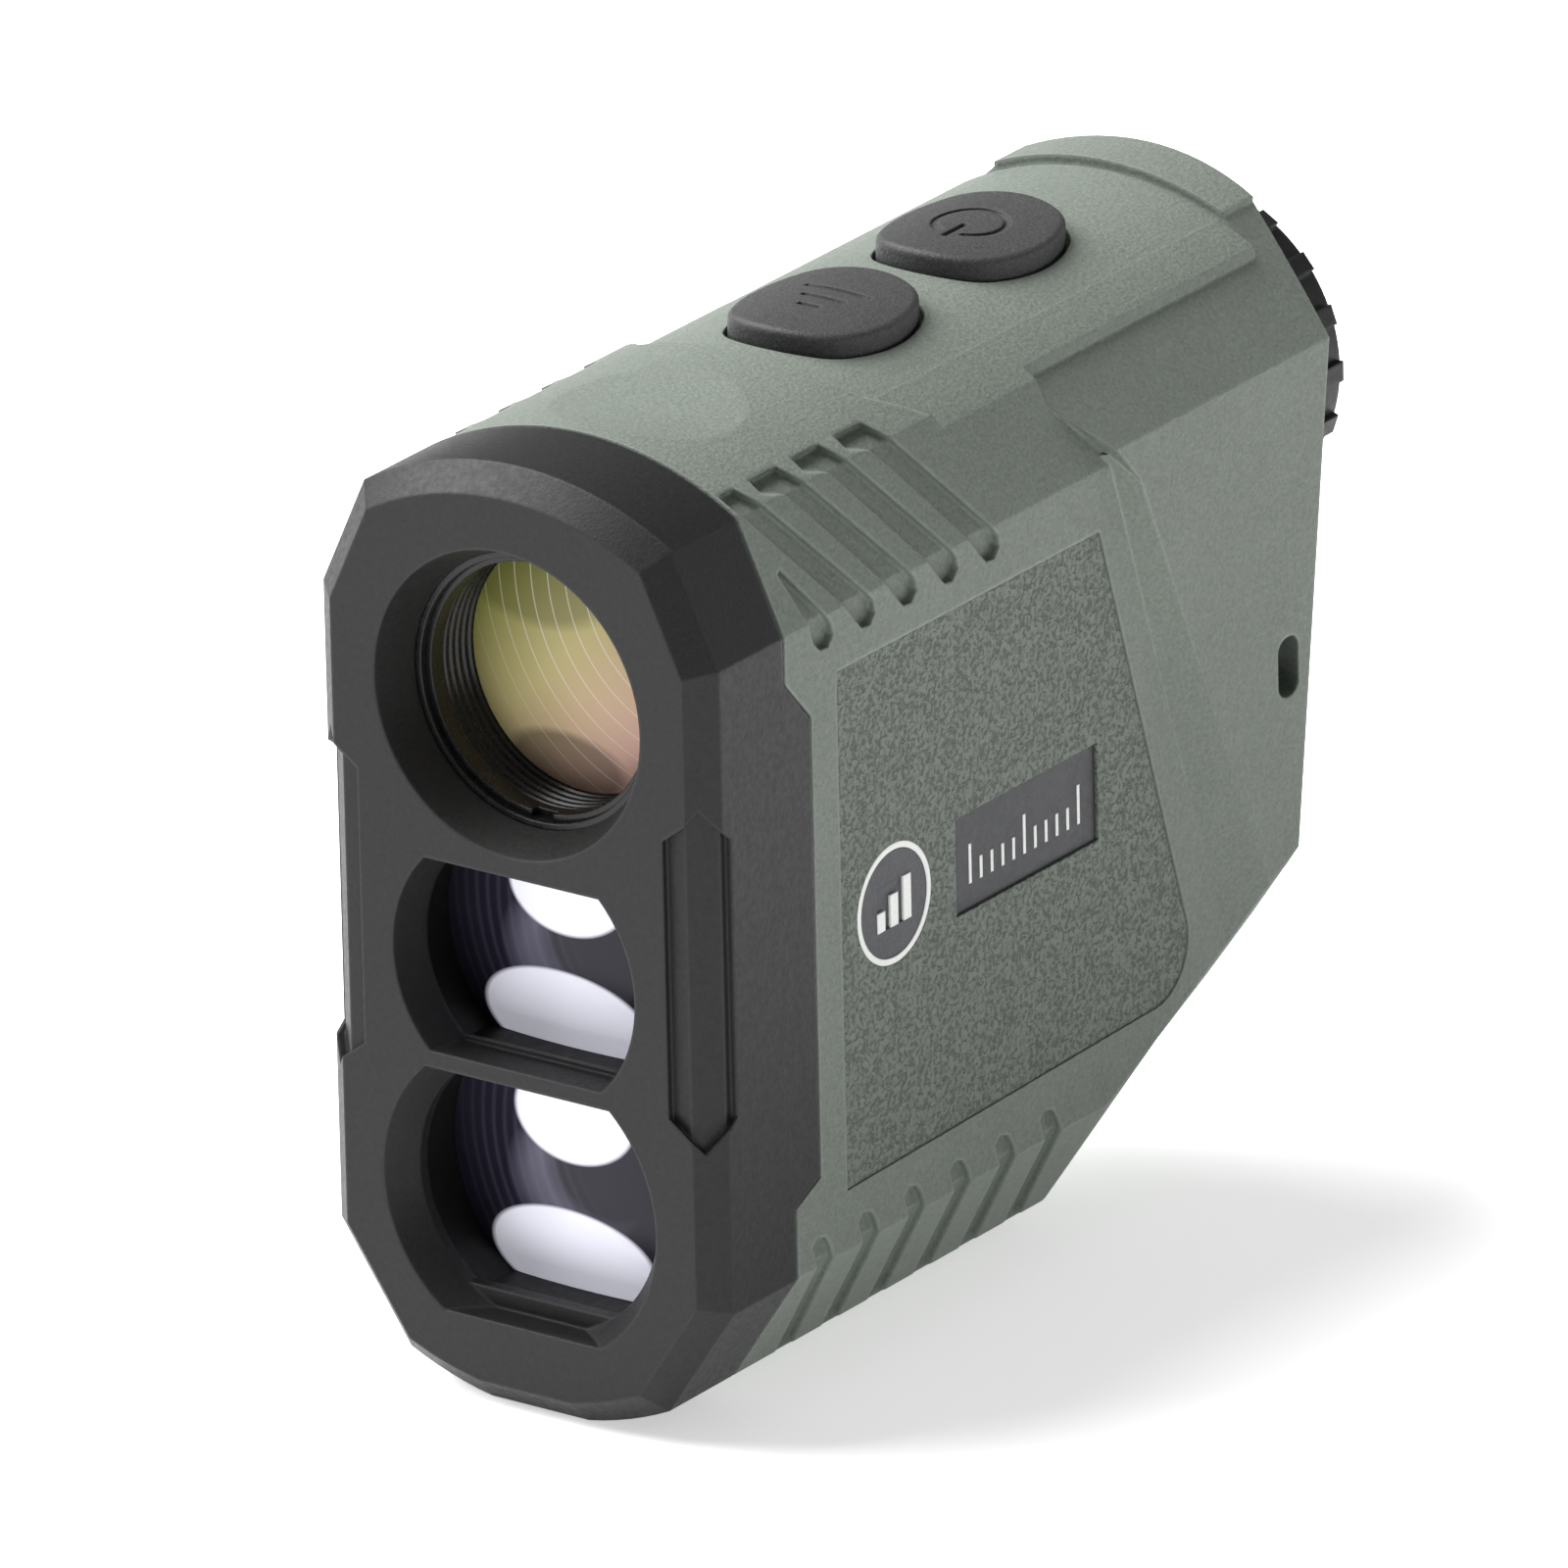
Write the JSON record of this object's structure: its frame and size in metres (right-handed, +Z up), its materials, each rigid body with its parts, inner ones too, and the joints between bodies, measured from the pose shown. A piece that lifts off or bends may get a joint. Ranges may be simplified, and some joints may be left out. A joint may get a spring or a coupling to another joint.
{
  "type": "laser rangefinder",
  "caption": "Compact laser rangefinder with sage rubber armour, charcoal three-lens bezel, two top buttons, dioptre eyepiece and screw battery cap.",
  "frame": {"origin": "Centre of the bounding box's footprint, on the flat land the rangefinder stands on.", "axes": "+Z up from the base to the buttons; -Y the way the lenses look; +X the side on the user's right when looking through the eyepiece from behind."},
  "size_m": [0.039, 0.093, 0.0766],
  "materials": {
    "rubber_armour": "fine matte grain",
    "pad_rubber": "coarse pebbled",
    "bezel_plastic": "satin charcoal",
    "gasket_rubber": "matte",
    "key_rubber": "speckled matte",
    "badge_dark": "satin",
    "mark_white": "printed white",
    "plate_dark": "satin",
    "housing_plastic": "glass filled black",
    "black_alloy": "black anodised",
    "coated_glass": "multi-coated",
    "laser_glass": "coated",
    "prism_glass": "polished",
    "eyecup_rubber": "soft matte",
    "board_green": "solder mask",
    "chip_black": "moulded",
    "steel": "plated",
    "brass_part": "gold plated",
    "cell_wrap": "shrink sleeve",
    "silicone": "translucent grey"
  },
  "bodies": {
    "housing": {"armour_sleeve": "rubber_armour", "badge_left": "badge_dark", "badge_mark_left": "mark_white", "badge_mark_right": "mark_white", "badge_right": "badge_dark", "badge_ring_left": "mark_white", "badge_ring_right": "mark_white", "battery_cell": "cell_wrap", "battery_tube": "housing_plastic", "bezel_gasket": "gasket_rubber", "board_standoffs": "housing_plastic", "emitter_lens": "laser_glass", "eyepiece_tube": "black_alloy", "field_stop": "black_alloy", "front_bezel": "bezel_plastic", "half_prism": "prism_glass", "housing_left": "housing_plastic", "housing_right": "housing_plastic", "laser_board": "board_green", "laser_board_screws": "steel", "laser_chamber": "housing_plastic", "laser_diode": "brass_part", "laser_lens_frame": "housing_plastic", "lcd_display": "prism_glass", "main_board": "board_green", "main_board_chips": "chip_black", "mode_return_sleeve": "silicone", "mode_switch": "steel", "nameplate_left": "plate_dark", "nameplate_right": "plate_dark", "nameplate_scale_left": "mark_white", "nameplate_scale_right": "mark_white", "objective_barrel": "black_alloy", "objective_front_lens": "coated_glass", "objective_rear_lens": "coated_glass", "objective_retaining_ring": "black_alloy", "objective_spacer": "black_alloy", "photodiode": "brass_part", "positive_contact": "brass_part", "power_return_sleeve": "silicone", "power_switch": "steel", "prism_holder": "housing_plastic", "receiver_lens": "laser_glass", "roof_prism": "prism_glass", "side_grip_pad_left": "pad_rubber", "side_grip_pad_right": "pad_rubber", "switch_board": "board_green"},
    "power_key": {"power_button": "key_rubber", "power_plunger": "housing_plastic"},
    "mode_key": {"mode_button": "key_rubber", "mode_plunger": "housing_plastic"},
    "dioptre": {"dioptre_ring": "bezel_plastic", "eyecup": "eyecup_rubber"},
    "ocular": {"ocular_cell": "black_alloy", "field_lens": "prism_glass", "eye_lens": "coated_glass", "ocular_retainer": "black_alloy"},
    "cap_carrier": {"cap_contact_spring": "steel"},
    "battery_door": {"battery_cap": "bezel_plastic", "cap_seal": "gasket_rubber"}
  },
  "joints": [
    {"name": "power_press", "type": "slide", "parent": "housing", "child": "power_key", "axis": [0, 0, -1], "range_m": [0, 0.0007], "stiffness_N_per_m": 1500, "deforming": ["power_return_sleeve"]},
    {"name": "mode_press", "type": "slide", "parent": "housing", "child": "mode_key", "axis": [0, 0, -1], "range_m": [0, 0.0007], "stiffness_N_per_m": 1500, "deforming": ["mode_return_sleeve"]},
    {"name": "dioptre_turn", "type": "hinge", "parent": "housing", "child": "dioptre", "pos_m": [0, 0.041, 0.05732], "axis": [0, 1, 0], "range_deg": [-60, 60]},
    {"name": "ocular_travel", "type": "slide", "parent": "housing", "child": "ocular", "axis": [0, 1, 0], "range_m": [-0.0008, 0.0008]},
    {"name": "cap_travel", "type": "slide", "parent": "housing", "child": "cap_carrier", "axis": [0, 1, 0], "range_m": [0, 0.003]},
    {"name": "cap_turn", "type": "hinge", "parent": "cap_carrier", "child": "battery_door", "pos_m": [0, 0.0305, 0.0325], "axis": [0, 1, 0], "range_deg": [0, 720]}
  ],
  "couplings": [
    {"joint": "dioptre_turn", "follows": "ocular_travel", "rad_per_m": 1308.9},
    {"joint": "cap_turn", "follows": "cap_travel", "rad_per_m": 4188.7}
  ]
}
